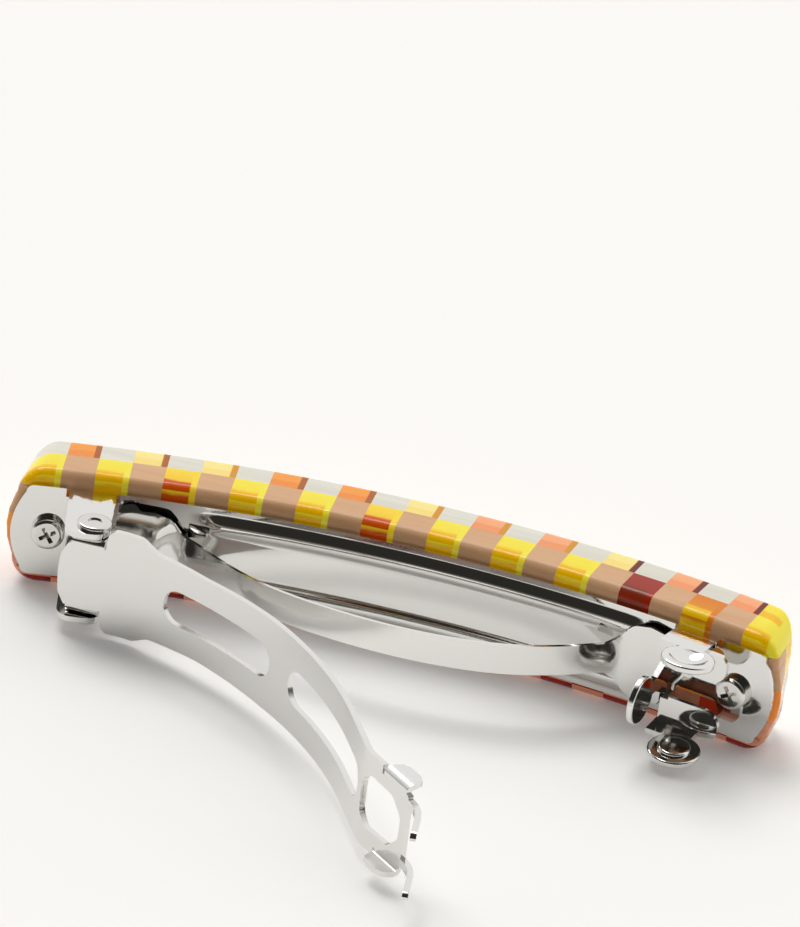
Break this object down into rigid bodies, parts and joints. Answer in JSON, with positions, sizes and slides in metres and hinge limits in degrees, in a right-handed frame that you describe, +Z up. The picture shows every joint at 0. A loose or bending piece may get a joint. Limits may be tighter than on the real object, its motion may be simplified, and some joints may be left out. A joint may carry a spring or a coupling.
{
  "type": "hair barrette",
  "caption": "Curved checked acetate hair barrette with a hinged metal clip: slotted swing arm, bowed tension spring and a squeeze catch with finger pads.",
  "frame": {"origin": "centre of the cover's long edge face that the barrette stands on", "axes": "+X from the hinge end to the catch end, +Z up across the cover's width, -Y from the cover's back towards the hair"},
  "size_m": [0.0828, 0.0614, 0.0133],
  "materials": {
    "laminated_acetate": "polished chequered acetate, clear and pearl blocks",
    "nickel_plated_plate": "mirror-bright nickel-plated spring steel sheet",
    "nickel_plated_arm": "mirror-bright nickel-plated spring steel sheet",
    "nickel_plated_catch": "mirror-bright nickel-plated spring steel sheet",
    "nickel_plated_screw": "bright nickel-plated steel",
    "spring_strip": "bright spring steel strip"
  },
  "bodies": {
    "base": {"acetate_cover": "laminated_acetate", "base_plate": "nickel_plated_plate", "mounting_screws": "nickel_plated_screw", "hinge_rivets": "nickel_plated_screw", "latch_wall": "nickel_plated_plate", "tension_spring": "spring_strip"},
    "arm": {"swing_arm": "nickel_plated_arm"},
    "upper_catch": {"upper_catch_lug": "nickel_plated_catch"},
    "lower_catch": {"lower_catch_lug": "nickel_plated_catch"}
  },
  "joints": [
    {"name": "arm_swing", "type": "hinge", "parent": "base", "child": "arm", "pos_m": [-0.0302, -0.01495, 0.00664], "axis": [0, 0, 1], "range_deg": [0, 45], "deforming": ["tension_spring"]},
    {"name": "upper_squeeze", "type": "hinge", "parent": "base", "child": "upper_catch", "pos_m": [0.0315, -0.00883, 0.01146], "axis": [0.9745, -0.2244, 0], "range_deg": [0, 4], "stiffness_Nm_per_rad": 0.02},
    {"name": "lower_squeeze", "type": "hinge", "parent": "base", "child": "lower_catch", "pos_m": [0.0315, -0.00883, 0.00182], "axis": [0.9745, -0.2244, 0], "range_deg": [-4, 0], "stiffness_Nm_per_rad": 0.02}
  ]
}
